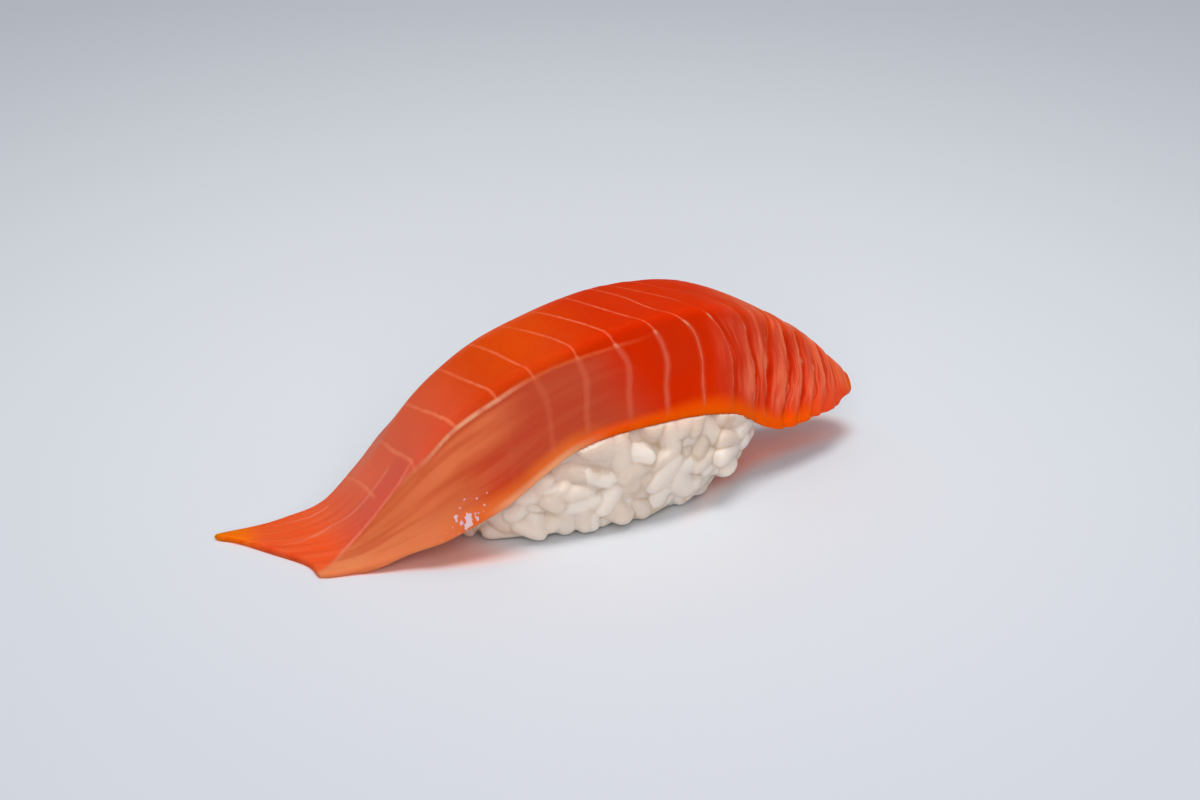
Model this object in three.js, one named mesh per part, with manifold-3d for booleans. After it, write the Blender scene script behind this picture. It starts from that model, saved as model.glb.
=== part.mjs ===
// Salmon nigiri: a long slice of raw salmon laid over a pressed block of sushi rice.
// Millimetres, +Z up. +X runs along the slice from its thin tail to its thick end, -Y is the near side, and
// the origin is near the middle of the rice's flat underside, in the plane that the nigiri rests on.
// Two solids: the slice, and the rice out to its uneven outline, a core with whole grains fused on.
import * as THREE from "three";
import { mergeVertices } from "three/addons/utils/BufferGeometryUtils.js";
import Module from "manifold-3d";

const wasm = await Module();
wasm.setup();

// ---- The slice: driving dimensions ----

// The slice's upper face is lofted through sections square to X. From the crown each side runs out almost
// level to a fold and goes down from there as a straight flap. A section holds its x, the crown's y and z,
// and for the near and the far side the distance from crown to fold, the flap's slope in degrees and the
// distance from crown to edge, both distances measured along the face.
const SECTIONS = [
  { x: -58, crown: [12.0, 1.1], near: [2.0, 2, 10.5], far: [1.0, 1, 1.0] },
  { x: -47, crown: [6.2, 1.8], near: [3.0, 5, 12.0], far: [3.0, 2, 5.4] },
  { x: -41, crown: [3.9, 4.4], near: [3.5, 20, 11.5], far: [4.5, 8, 6.8] },
  { x: -35, crown: [2.1, 11.2], near: [4.2, 48, 13.9], far: [5.2, 26, 10.4] },
  { x: -29, crown: [1.1, 19.2], near: [5.2, 65, 19.8], far: [6.2, 44, 14.2] },
  { x: -21, crown: [0.4, 25.7], near: [6.6, 73, 23.4], far: [7.2, 60, 17.4] },
  { x: -9, crown: [0.0, 30.8], near: [7.6, 77, 22.6], far: [7.7, 70, 19.2] },
  { x: 5, crown: [0.0, 33.0], near: [7.3, 78, 22.4], far: [7.7, 72, 19.4] },
  { x: 18, crown: [0.6, 31.0], near: [5.2, 74, 20.8], far: [6.6, 71, 18.4] },
  { x: 28, crown: [2.0, 25.6], near: [2.9, 74, 19.6], far: [4.4, 70, 16.6] },
  { x: 38, crown: [4.0, 18.2], near: [2.0, 66, 12.6], far: [3.0, 66, 10.0] },
  { x: 44, crown: [4.9, 11.9], near: [1.3, 60, 6.6], far: [2.2, 62, 7.0] },
  { x: 48, crown: [5.4, 7.8], near: [0.8, 54, 4.1], far: [0.8, 58, 2.3] },
];
const FOLD_RADIUS = 2.6;
const MOST_FOLD = 0.8; // of the way from crown to fold, the most that the fold's rounding takes
const SHOULDER_SLOPE = 9; // degrees, of the face just above the fold

// The slice was cut aslant. A line across it that crosses the crown at x stands off from x by these
// distances where it meets the near edge, the middle of the near flap, the near fold and the far edge.
const ASLANT = [
  { x: -56.0, edge: 8.3, flap: 8.0, fold: 3.4, farEdge: -1.6 },
  { x: -43.5, edge: 4.5, flap: 4.6, fold: 2.5, farEdge: -1.5 },
  { x: -30.0, edge: 3.0, flap: 3.6, fold: 3.0, farEdge: -3.0 },
  { x: -14.0, edge: 4.0, flap: 4.0, fold: 3.0, farEdge: -2.0 },
  { x: 3.0, edge: 2.0, flap: 3.0, fold: 3.0, farEdge: -2.0 },
  { x: 18.0, edge: 0.5, flap: 1.0, fold: 1.0, farEdge: -1.0 },
  { x: 31.5, edge: -1.5, flap: -0.9, fold: -0.3, farEdge: -1.0 },
  { x: 46.2, edge: -4.4, flap: -1.8, fold: -0.2, farEdge: -3.7 },
];
const TAIL_X = ASLANT[0].x; // the two ends, where they cross the crown
const THICK_END_X = ASLANT[ASLANT.length - 1].x;
const FOLD_ACROSS = 0.35; // the fold's place across the slice, with 0 at the crown and 1 at an edge
const FLAP_ACROSS = 0.7; // the place of the near flap's middle

// Thickness under the crown, at the edges, and how far in from each end it takes to reach full thickness.
const THICKNESS = [
  { x: -58, depth: 0.9 },
  { x: -44, depth: 1.6 },
  { x: -34, depth: 4.2 },
  { x: -22, depth: 6.6 },
  { x: 0, depth: 7.6 },
  { x: 22, depth: 7.0 },
  { x: 36, depth: 4.8 },
  { x: 48, depth: 2.6 },
];
const EDGE_THICKNESS = 1.4;
const END_TAPER = 12;
const LEAST_HEIGHT = 0.8; // of the upper face where the tail lies flat
// How far the underside runs on level under the crown, as a share of the distance to the fold, and how far
// it follows the flap above the edge, as a share of the flap.
const CROWN_LEAD = 0.5;
const FLAP_LEAD = 0.3;

// The muscle's flakes stand a little proud between shallow grooves, and as deeper pleats at the thick end.
const FLAKE_PITCH = 5.4;
const PLEAT_PITCH = 2.7;
const PLEATS_START_X = 12;
const PLEATS_FULL_X = 36;
const FIRST_FLAKE_X = -43;
const GROOVES_START_X = -49;
const GROOVES_FULL_X = -35;
const FLAKE_GROOVE = 0.16;
const PLEAT_GROOVE = 0.42;
const FLAKE_SWEEP = 0.62; // how far a groove runs on in +X for each millimetre towards the near fold
const SWEEP_FROM = -8; // distances from the crown towards the near side between which the grooves sweep
const SWEEP_TO = 9;

// Faces along the slice before and over the pleats, and the places across one side that they are split at.
const FACES = {
  beforePleats: 32,
  overPleats: 26,
  across: [0, 0.12, 0.24, 0.31, 0.38, 0.47, 0.58, 0.72, 0.86, 1],
};
const COARSE_FACES = { beforePleats: 13, overPleats: 7, across: [0, 0.24, 0.38, 0.62, 0.82, 1] };

// ---- The rice: driving dimensions ----

const RICE_HALF_LENGTH = 24.0;
const RICE_HALF_WIDTH = 11.9;
const RICE_FOOT_X = -3.4; // middle of its underside
const RICE_LEAN = 0.4; // how far its middle moves towards the thick end for each millimetre up
const RICE_HEIGHT = 27;
const RICE_SQUARENESS = 2.4; // exponent of its oval plan, 2 for an ellipse
// The plan's size at each height, as a share of the largest.
const RICE_SIDE = [
  { z: 0, share: 0.86 },
  { z: 3.5, share: 0.93 },
  { z: 8, share: 1.0 },
  { z: 15, share: 0.95 },
  { z: 22, share: 0.76 },
  { z: 27, share: 0.45 },
];
const CORE_INSET = 1.2; // of the core, from the face that the grains lie in
const CORE_SIDES = 22;
const CORE_LEVELS = 6;

const GRAIN_LENGTH = 7.6;
const GRAIN_WIDTH = 3.3;
const GRAIN_FLATNESS = 0.86;
const GRAIN_SPREAD = 0.13; // a grain's size varies by this share either way
const GOLDEN_SHARE = 0.618034; // of the range of sizes, from each grain to the next
const GRAIN_ROWS = 6;
const LOWEST_ROW_Z = 1.5;
const HIGHEST_ROW_Z = 18.5;
const GRAIN_STEP = 6.1; // between grains along a row
const GRAIN_SIDES = 5;
const GRAIN_RINGS = 4;
const GRAIN_SINK = 0.55; // the mean depth of a grain's axis under the rice's face
const GRAIN_SINK_SWING = 0.45; // the most that this depth varies either way
const GRAIN_TURN = 1.0; // radians, the most that a grain is turned out of its row in the rice's face
const GRAIN_TILT = 0.25; // radians, the most that a grain's end points out of the rice
const GRAIN_SHIFT = 1.0; // the most that a grain lies off its even place
const GRAIN_SEED = 4127;

// Steps round the block and up its side, between two points of it, over which its directions are taken.
const ANGLE_STEP = 0.04;
const HEIGHT_STEP = 0.4;

// The slice is grown by the gap, and its upper face lifted by the hood, before it is cut out of the rice.
const SLICE_GAP = 0.5;
const SLICE_HOOD = 7;
const CUT_BLOCK = [160, 80, 20]; // cut away under the resting plane

// ---- Curves ----

// Smooth curve through stations: the value at x of the cubic that takes each station's mean slope.
function through(stations, at, key, value) {
  const last = stations.length - 1;
  const x = THREE.MathUtils.clamp(at, stations[0][key], stations[last][key]);
  let i = 0;
  while (i < last - 1 && x > stations[i + 1][key]) i += 1;
  const step = (k) => stations[k + 1][key] - stations[k][key];
  const rise = (k) => (value(stations[k + 1]) - value(stations[k])) / step(k);
  const slope = (k) => {
    if (k === 0) return rise(0);
    if (k === last) return rise(last - 1);
    return (rise(k - 1) * step(k) + rise(k) * step(k - 1)) / (step(k) + step(k - 1));
  };
  const t = (x - stations[i][key]) / step(i);
  const a = value(stations[i]);
  const b = value(stations[i + 1]);
  const bend = t * (1 - t) * step(i);
  return (
    a * (1 + 2 * t) * (1 - t) ** 2 +
    b * t * t * (3 - 2 * t) +
    bend * ((1 - t) * slope(i) - t * slope(i + 1))
  );
}

const sectionValue = (x, value) => through(SECTIONS, x, "x", value);
const radians = THREE.MathUtils.degToRad;

// One side of the section at x: distance to the fold, slope of the flap and distance to the edge.
function sideOf(x, isNear) {
  const side = (part) => sectionValue(x, (s) => (isNear ? s.near : s.far)[part]);
  return { fold: side(0), slope: radians(side(1)), width: side(2) };
}

// How far out and down the face has come at a distance along it from the crown: a slow arc over the top, a
// tight arc round the fold, and the flap.
function outAndDown(distance, side) {
  const shoulder = Math.min(radians(SHOULDER_SLOPE), side.slope);
  const turn = Math.max(side.slope - shoulder, 1e-3);
  const halfFold = Math.min((FOLD_RADIUS * turn) / 2, side.fold * MOST_FOLD);
  const foldStart = side.fold - halfFold;
  const arc = (length, from, bend) => [
    (Math.sin(from + bend * length) - Math.sin(from)) / bend,
    (Math.cos(from) - Math.cos(from + bend * length)) / bend,
  ];
  const top = arc(Math.min(distance, foldStart), 0, shoulder / foldStart);
  const inFold = THREE.MathUtils.clamp(distance - foldStart, 0, 2 * halfFold);
  const round = arc(inFold, shoulder, turn / (2 * halfFold));
  const flap = Math.max(distance - foldStart - 2 * halfFold, 0);
  return [
    top[0] + round[0] + flap * Math.cos(side.slope),
    top[1] + round[1] + flap * Math.sin(side.slope),
  ];
}

// ---- The slice ----

// x of the point at `across` (-1 near edge, 0 crown, 1 far edge) on the line that meets the crown at crownX.
function aslantX(crownX, across) {
  const off = (name) => through(ASLANT, crownX, "x", (s) => s[name]);
  const knots = [
    { across: -1, x: crownX + off("edge") },
    { across: -FLAP_ACROSS, x: crownX + off("flap") },
    { across: -FOLD_ACROSS, x: crownX + off("fold") },
    { across: 0, x: crownX },
    { across: 1, x: crownX + off("farEdge") },
  ];
  return through(knots, across, "across", (k) => k.x);
}

// Distance along the face from the crown to a place across the slice.
function distanceAt(side, across) {
  const share = Math.abs(across);
  if (share < FOLD_ACROSS) return (share / FOLD_ACROSS) * side.fold;
  return side.fold + ((share - FOLD_ACROSS) / (1 - FOLD_ACROSS)) * (side.width - side.fold);
}

// Depth of the groove between two flakes, for a point given by x and its distance towards the near side.
function grooveDepth(x, towardsNear) {
  const settled = THREE.MathUtils.smoothstep(x, PLEATS_START_X, PLEATS_FULL_X);
  const swept = THREE.MathUtils.clamp(towardsNear, SWEEP_FROM, SWEEP_TO);
  const along = x - FLAKE_SWEEP * (1 - settled) * swept;
  const pitch = THREE.MathUtils.lerp(FLAKE_PITCH, PLEAT_PITCH, settled);
  const wave = Math.cos((2 * Math.PI * (along - FIRST_FLAKE_X)) / pitch);
  const depth = THREE.MathUtils.lerp(FLAKE_GROOVE, PLEAT_GROOVE, settled);
  const started = THREE.MathUtils.smoothstep(x, GROOVES_START_X, GROOVES_FULL_X);
  return depth * started * Math.max(wave, 0) ** 2;
}

// The slice's underside at x: a curve from under the crown, level at first, to the inside of the edge.
function undersidePoint(x, across) {
  const isNear = across < 0;
  const side = sideOf(x, isNear);
  const outward = isNear ? -1 : 1;
  const crownY = sectionValue(x, (s) => s.crown[0]);
  const crownZ = sectionValue(x, (s) => s.crown[1]);
  const depth = through(THICKNESS, x, "x", (s) => s.depth);
  const [out, down] = outAndDown(side.width, side);
  const edgeOut = out - EDGE_THICKNESS * Math.sin(side.slope);
  const edgeDown = down + EDGE_THICKNESS * Math.cos(side.slope);
  const flapLead = FLAP_LEAD * (side.width - side.fold);
  const curve = new THREE.CubicBezierCurve(
    new THREE.Vector2(0, depth),
    new THREE.Vector2(CROWN_LEAD * side.fold, depth),
    new THREE.Vector2(
      edgeOut - flapLead * Math.cos(side.slope),
      edgeDown - flapLead * Math.sin(side.slope),
    ),
    new THREE.Vector2(edgeOut, edgeDown),
  );
  const p = curve.getPoint(Math.abs(across));
  return new THREE.Vector3(x, crownY + outward * p.x, crownZ - p.y);
}

// The slice's upper and under points at a place along (x at the crown) and across it. A hood is how much
// further out the upper point lies.
function slicePoints(crownX, across, hood) {
  const x = aslantX(crownX, across);
  const isNear = across < 0;
  const side = sideOf(x, isNear);
  const outward = isNear ? -1 : 1;
  const distance = distanceAt(side, across);
  const [out, down] = outAndDown(distance, side);
  const crownY = sectionValue(x, (s) => s.crown[0]);
  const crownZ = sectionValue(x, (s) => s.crown[1]);
  const height = crownZ - down;
  const upper = new THREE.Vector3(x, crownY + outward * out, Math.max(height, LEAST_HEIGHT));
  const inward = undersidePoint(x, across).sub(upper);
  const fromEnd = Math.min(crownX - TAIL_X, THICK_END_X - crownX);
  const full = THREE.MathUtils.smoothstep(fromEnd, 0, END_TAPER);
  const thickness = THREE.MathUtils.lerp(EDGE_THICKNESS, inward.length(), full);
  inward.normalize();
  const under = upper.clone().addScaledVector(inward, thickness);
  under.z = Math.max(under.z, 0);
  upper.addScaledVector(inward, grooveDepth(x, -outward * distance) - hood);
  return { upper, under };
}

// Crown stations of the slice's rows, closer together over the pleats.
function rowStations(faces) {
  const stations = [];
  for (let i = 0; i < faces.beforePleats; i += 1) {
    stations.push(THREE.MathUtils.lerp(TAIL_X, PLEATS_START_X, i / faces.beforePleats));
  }
  for (let i = 0; i <= faces.overPleats; i += 1) {
    stations.push(THREE.MathUtils.lerp(PLEATS_START_X, THICK_END_X, i / faces.overPleats));
  }
  return stations;
}

// A closed geometry from a ring of rows: each row runs over the upper face and back along the underside.
function sliceGeometry(faces, hood) {
  const across = [...faces.across.slice(1).reverse().map((c) => -c), ...faces.across];
  const rings = rowStations(faces).map((crownX) => {
    const pairs = across.map((a) => slicePoints(crownX, a, hood));
    return [...pairs.map((p) => p.upper), ...pairs.reverse().map((p) => p.under)];
  });
  const size = rings[0].length;
  const positions = rings.flat().flatMap((p) => [p.x, p.y, p.z]);
  const index = [];
  const quad = (a, b, c, d) => index.push(a, b, c, a, c, d);
  for (let r = 0; r < rings.length - 1; r += 1) {
    for (let i = 0; i < size; i += 1) {
      const next = (i + 1) % size;
      quad(r * size + i, (r + 1) * size + i, (r + 1) * size + next, r * size + next);
    }
  }
  const end = (rings.length - 1) * size;
  for (let i = 0; i < size / 2 - 1; i += 1) {
    const back = size - 1 - i;
    quad(i, i + 1, back - 1, back);
    quad(end + i, end + back, end + back - 1, end + i + 1);
  }
  const geometry = new THREE.BufferGeometry();
  geometry.setAttribute("position", new THREE.Float32BufferAttribute(positions, 3));
  geometry.setIndex(index);
  return geometry;
}

// The same closed geometry with every vertex moved out along its normal.
function grown(geometry, distance) {
  const copy = geometry.clone();
  copy.computeVertexNormals();
  const position = copy.getAttribute("position");
  const normal = copy.getAttribute("normal");
  for (let i = 0; i < position.count; i += 1) {
    position.setXYZ(
      i,
      position.getX(i) + distance * normal.getX(i),
      position.getY(i) + distance * normal.getY(i),
      position.getZ(i) + distance * normal.getZ(i),
    );
  }
  return copy;
}

// ---- The rice ----

// A point of the block's face at an angle round it and a height, drawn in by `inset`.
function riceFace(angle, z, inset) {
  const share = through(RICE_SIDE, z, "z", (s) => s.share);
  const power = 2 / RICE_SQUARENESS;
  const bow = (v) => Math.sign(v) * Math.abs(v) ** power;
  return new THREE.Vector3(
    RICE_FOOT_X + RICE_LEAN * z + (share * RICE_HALF_LENGTH - inset) * bow(Math.cos(angle)),
    (share * RICE_HALF_WIDTH - inset) * bow(Math.sin(angle)),
    z,
  );
}

// Repeatable draws between 0 and 1.
function draws(seed) {
  let state = seed;
  return () => {
    state = (state * 1664525 + 1013904223) % 4294967296;
    return state / 4294967296;
  };
}

// The solid core under the grains: stacked ovals, closed by a flat bottom and top.
function coreGeometry() {
  const positions = [];
  for (let level = 0; level < CORE_LEVELS; level += 1) {
    const z = (RICE_HEIGHT * level) / (CORE_LEVELS - 1);
    for (let i = 0; i < CORE_SIDES; i += 1) {
      positions.push(...riceFace((2 * Math.PI * i) / CORE_SIDES, z, CORE_INSET));
    }
  }
  const index = [];
  for (let level = 0; level < CORE_LEVELS - 1; level += 1) {
    for (let i = 0; i < CORE_SIDES; i += 1) {
      const a = level * CORE_SIDES + i;
      const b = level * CORE_SIDES + ((i + 1) % CORE_SIDES);
      index.push(a, b, b + CORE_SIDES, a, b + CORE_SIDES, a + CORE_SIDES);
    }
  }
  const topStart = (CORE_LEVELS - 1) * CORE_SIDES;
  for (let i = 1; i < CORE_SIDES - 1; i += 1) {
    index.push(0, i + 1, i);
    index.push(topStart, topStart + i, topStart + i + 1);
  }
  const geometry = new THREE.BufferGeometry();
  geometry.setAttribute("position", new THREE.Float32BufferAttribute(positions, 3));
  geometry.setIndex(index);
  return geometry;
}

// Angles that split the block's outline at a height into even steps, starting `phase` of a step round.
function evenAngles(z, phase) {
  const samples = 240;
  const lengths = [0];
  for (let i = 1; i <= samples; i += 1) {
    const before = riceFace((2 * Math.PI * (i - 1)) / samples, z, 0);
    lengths.push(lengths[i - 1] + before.distanceTo(riceFace((2 * Math.PI * i) / samples, z, 0)));
  }
  const count = Math.round(lengths[samples] / GRAIN_STEP);
  return Array.from({ length: count }, (_, k) => {
    const length = (lengths[samples] * (k + phase)) / count;
    const i = lengths.findIndex((l) => l > length);
    return (2 * Math.PI * (i - (lengths[i] - length) / (lengths[i] - lengths[i - 1]))) / samples;
  });
}

// Directions in the block's face at a place on it: ahead round the block, and up its side.
function faceDirections(angle, z) {
  const before = riceFace(angle - ANGLE_STEP / 2, z, 0);
  const below = riceFace(angle, z - HEIGHT_STEP / 2, 0);
  return {
    ahead: riceFace(angle + ANGLE_STEP / 2, z, 0).sub(before).normalize(),
    above: riceFace(angle, z + HEIGHT_STEP / 2, 0).sub(below).normalize(),
  };
}

// One grain laid in the block's face: along it and level at first, then turned, tilted and shifted at random.
function laidGrain(angle, z, size, draw) {
  const swing = (most) => most * (2 * draw() - 1);
  const { ahead, above } = faceDirections(angle, z);
  const outside = ahead.clone().cross(above).normalize();
  const centre = riceFace(angle, z, GRAIN_SINK + swing(GRAIN_SINK_SWING));
  centre.addScaledVector(ahead, swing(GRAIN_SHIFT)).addScaledVector(above, swing(GRAIN_SHIFT / 2));
  const along = ahead.applyAxisAngle(outside, swing(GRAIN_TURN));
  const sideways = outside.clone().cross(along);
  along.applyAxisAngle(sideways, swing(GRAIN_TILT));
  const frame = new THREE.Matrix4().makeBasis(along, sideways, along.clone().cross(sideways));
  const grain = new THREE.SphereGeometry(0.5, GRAIN_SIDES, GRAIN_RINGS);
  grain.rotateZ(-Math.PI / 2);
  grain.scale(GRAIN_LENGTH * size, GRAIN_WIDTH * size, GRAIN_WIDTH * size * GRAIN_FLATNESS);
  return grain.applyMatrix4(frame.setPosition(centre));
}

// The grains in staggered rows round the block's sides, the larger and smaller sizes spread evenly.
function grainGeometries() {
  const draw = draws(GRAIN_SEED);
  const grains = [];
  for (let row = 0; row < GRAIN_ROWS; row += 1) {
    const z = THREE.MathUtils.lerp(LOWEST_ROW_Z, HIGHEST_ROW_Z, row / (GRAIN_ROWS - 1));
    for (const angle of evenAngles(z, (row % 2) / 2)) {
      const size = 1 + GRAIN_SPREAD * (2 * ((grains.length * GOLDEN_SHARE) % 1) - 1);
      grains.push(laidGrain(angle, z, size, draw));
    }
  }
  return grains;
}

// ---- Solids ----

// A closed geometry as a manifold-3d solid.
function solidOf(geometry) {
  const bare = geometry.clone();
  bare.deleteAttribute("normal");
  bare.deleteAttribute("uv");
  const merged = mergeVertices(bare, 1e-3);
  return new wasm.Manifold(
    new wasm.Mesh({
      numProp: 3,
      vertProperties: merged.attributes.position.array,
      triVerts: new Uint32Array(merged.index.array),
    }),
  );
}

// A manifold-3d solid as a geometry again.
function geometryOf(solid) {
  const mesh = solid.getMesh();
  const geometry = new THREE.BufferGeometry();
  geometry.setAttribute("position", new THREE.BufferAttribute(mesh.vertProperties, 3));
  geometry.setIndex(new THREE.BufferAttribute(mesh.triVerts, 1));
  geometry.computeVertexNormals();
  return geometry;
}

// The largest body of a solid: loose scraps and sealed hollows are bodies of their own and are left out.
function largestBody(solid) {
  const bodies = solid.decompose();
  return bodies.reduce((best, body) => (body.volume() > best.volume() ? body : best));
}

// The rice: core and grains fused, cut flat underneath and cut back from the slice.
function riceGeometry() {
  const belowTable = new THREE.BoxGeometry(...CUT_BLOCK).translate(0, 0, -CUT_BLOCK[2] / 2);
  const hoodedSlice = grown(sliceGeometry(COARSE_FACES, SLICE_HOOD), SLICE_GAP);
  let rice = solidOf(coreGeometry());
  for (const grain of grainGeometries()) rice = rice.add(solidOf(grain));
  rice = rice.subtract(solidOf(hoodedSlice));
  rice = rice.subtract(solidOf(belowTable));
  return geometryOf(largestBody(rice));
}

function namedMesh(name, geometry, color, roughness) {
  const material = new THREE.MeshStandardMaterial({ color, roughness, metalness: 0 });
  const mesh = new THREE.Mesh(geometry, material);
  mesh.name = name;
  return mesh;
}

const slice = sliceGeometry(FACES, 0);
slice.computeVertexNormals();
const group = new THREE.Group();
group.add(namedMesh("salmon", slice, 0xd9501e, 0.35));
group.add(namedMesh("rice", riceGeometry(), 0xd8cdc6, 0.5));

export default group;
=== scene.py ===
"""Looks of the salmon nigiri: the slice with its flakes and pleats, the rice with its sticky grains, a pale
floor, soft light and the camera.

Lengths are in millimetres, in the CAD's frame, and turn into metres where a mesh is made. +X runs from the
slice's thin tail to its thick end, -Y is the near side, +Z is up.
"""

import math

import bmesh
import bpy
import numpy as np
from mathutils import Matrix, Vector
from mathutils.bvhtree import BVHTree


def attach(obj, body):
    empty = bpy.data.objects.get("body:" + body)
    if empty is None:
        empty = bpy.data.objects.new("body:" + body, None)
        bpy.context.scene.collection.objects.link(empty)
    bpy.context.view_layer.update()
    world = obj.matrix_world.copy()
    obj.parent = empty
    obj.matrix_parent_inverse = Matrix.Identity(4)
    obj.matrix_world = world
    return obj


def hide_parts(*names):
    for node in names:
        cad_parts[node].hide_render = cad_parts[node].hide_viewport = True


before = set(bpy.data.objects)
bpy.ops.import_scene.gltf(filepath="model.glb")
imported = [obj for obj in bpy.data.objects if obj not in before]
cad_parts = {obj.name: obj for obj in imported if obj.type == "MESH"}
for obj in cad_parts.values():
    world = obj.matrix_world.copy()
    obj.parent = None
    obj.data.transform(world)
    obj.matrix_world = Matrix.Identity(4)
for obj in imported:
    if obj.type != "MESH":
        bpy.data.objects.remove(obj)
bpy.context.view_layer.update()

MM = 0.001

# ---- The slice: driving dimensions, as in the CAD ----

# Sections square to X: x, crown y and z, then distance from crown to fold, slope of the flap in degrees and
# distance from crown to edge, for the near side and for the far side.
SECTIONS = np.array([
    [-58, 11.3, 0.9, 2.0, 2, 10.5, 1.0, 1, 1.0],
    [-47, 6.2, 1.8, 3.0, 5, 12.0, 3.0, 2, 5.4],
    [-41, 3.9, 4.4, 3.5, 20, 11.5, 4.5, 8, 6.8],
    [-35, 2.1, 11.0, 4.2, 48, 14.1, 5.2, 26, 10.0],
    [-29, 1.1, 19.3, 5.2, 65, 20.3, 6.2, 44, 14.2],
    [-21, 0.4, 25.9, 6.6, 73, 24.0, 7.2, 60, 17.4],
    [-9, 0.0, 30.8, 7.6, 77, 22.7, 7.7, 70, 19.2],
    [5, 0.0, 33.0, 7.3, 78, 23.0, 7.7, 72, 19.4],
    [18, 0.6, 31.0, 5.2, 74, 21.2, 6.6, 71, 18.4],
    [28, 2.0, 25.6, 2.9, 74, 19.8, 4.4, 70, 16.6],
    [38, 4.0, 18.2, 2.0, 66, 12.6, 3.0, 66, 10.0],
    [44, 4.9, 11.9, 1.3, 60, 6.6, 2.2, 62, 7.0],
    [48, 5.4, 7.8, 0.8, 54, 4.1, 0.8, 58, 2.3],
])
NEAR_FOLD, NEAR_SLOPE, NEAR_WIDTH, FAR_FOLD, FAR_SLOPE, FAR_WIDTH = range(3, 9)
NEAR_FOLD_RADIUS = 1.5
FAR_FOLD_RADIUS = 2.6
SHOULDER_SLOPE = math.radians(9)  # of the face just above the fold

# A line across the slice that meets the crown at x stands off from x by these distances where it meets the
# near edge, the middle of the near flap, the near fold and the far edge: x, edge, flap, fold, far edge.
ASLANT = np.array([
    [-56.0, 8.3, 8.0, 3.4, -1.6],
    [-43.5, 4.5, 4.6, 2.5, -1.5],
    [-30.0, 3.0, 3.6, 3.0, -3.0],
    [-14.0, 4.0, 4.0, 3.0, -2.0],
    [3.0, 2.0, 3.0, 3.0, -2.0],
    [18.0, 0.5, 1.0, 1.0, -1.0],
    [31.5, -1.5, -0.9, -0.3, -1.0],
    [45.7, -4.2, -0.8, -0.3, -2.4],
])
TAIL_X = ASLANT[0, 0]
THICK_END_X = ASLANT[-1, 0]
FOLD_ACROSS = 0.35  # the fold's place across the slice, with 0 at the crown and 1 at an edge
FLAP_ACROSS = 0.7  # the place of the near flap's middle

# x, thickness under the crown.
THICKNESS = np.array([
    [-58, 0.9], [-44, 1.6], [-34, 4.2], [-22, 6.6], [0, 7.6], [22, 7.0], [36, 4.8], [48, 2.6],
])
EDGE_THICKNESS = 1.4
LEAST_THICKNESS = 0.3  # upright
END_TAPER = 12  # how far in from each end it takes to reach full thickness
LEAST_HEIGHT = 0.8  # of the upper face where the tail lies flat
UNDER_FLAT = 0.5  # of the fold's distance, how far the underside runs level under the crown
UNDER_LEAD = 0.3  # of the flap's width, how far the underside runs in line with the flap
RIM_BULGE = 0.75  # of half the thickness, how far a rim stands out

# Where the pale line between two flakes runs: its x at these distances from the crown, the far side positive.
FLAKE_REACH = [-18, -13, -9, -5, 0, 7]
FLAKES = np.array([
    [-52.0, -53.0, -53.5, -54.0, -54.5, -55.0],
    [-42.0, -42.5, -43.0, -43.0, -43.5, -44.0],
    [-36.0, -36.3, -36.5, -36.8, -37.0, -37.3],
    [-31.2, -31.4, -31.6, -32.0, -32.7, -32.8],
    [-24.8, -25.0, -25.4, -26.9, -28.1, -29.0],
    [-18.9, -19.2, -19.8, -21.3, -22.6, -23.5],
    [-12.5, -12.8, -14.3, -16.0, -17.2, -18.5],
    [-6.9, -6.5, -7.6, -9.0, -11.1, -13.6],
    [0.2, 0.4, -1.7, -3.7, -6.1, -8.6],
    [6.5, 7.0, 5.4, 1.8, -1.0, -3.2],
    [13.0, 13.3, 12.0, 6.7, 4.2, 1.2],
    [18.7, 19.3, 18.0, 13.5, 8.2, 3.8],
    [23.4, 24.3, 23.4, 22.0, 13.2, 7.5],
    [25.4, 26.5, 27.1, 27.3, 27.9, 14.0],
    [29.0, 30.8, 31.7, 31.4, 30.2, 26.0],
    [32.0, 33.3, 34.4, 34.3, 33.0, 30.5],
    [34.5, 35.6, 36.7, 36.9, 36.3, 34.5],
    [36.0, 37.4, 39.0, 39.4, 38.1, 37.0],
    [37.8, 39.2, 40.8, 41.5, 40.2, 39.5],
    [44.0, 44.0, 44.5, 44.8, 44.5, 43.5],
    [52.0, 52.0, 52.0, 52.0, 52.0, 52.0],
])
WAVER = 0.09  # of those lines among the pleats
# How plainly each of those lines shows over the top, and down the near flap.
TOP_SHARE = [
    0, 0, 1.1, 1.2, 1.1, 0.9, 0.8, 0.75, 0.85, 0.85,
    0.95, 0.85, 0.6, 0.45, 0.35, 0.3, 0.3, 0.25, 0.2, 0, 0,
]
HALF_LINE = 2  # stops on its way to the near fold
FLAP_SHARE = [
    0, 0, 0, 0, 0, 0.1, 0.45, 0.65, 0.75, 0.8,
    0.85, 0.8, 0.7, 0.6, 0.6, 0.5, 0.45, 0.4, 0.35, 0, 0,
]

# Depth of the pleats, each a slow rise to a crest and a short drop behind it: x, depth.
PLEATS = np.array([
    [-6, 0.0], [2, 0.08], [12, 0.22], [22, 0.5], [30, 0.75], [36, 0.6], [41, 0.45], [45, 0.15],
])
PLEAT_DROP = 0.4  # length of the drop
PLEAT_CREST = 0.72  # where in a flake its crest lies, from 0 behind one line to 1 at the next
PLEAT_CREST_SWING = 0.16
PLEAT_ON_TOP = 0.6  # of that depth, where the pleats cross the top

# Faces across one side of the slice and along it.
NEAR_FACES = 64
FAR_FACES = 44
RIM_FACES = 6
ROW_STEP = 0.5
PLEAT_ROW_STEP = 0.2
PLEAT_ROWS_FROM = -2

# ---- Curves ----


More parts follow.
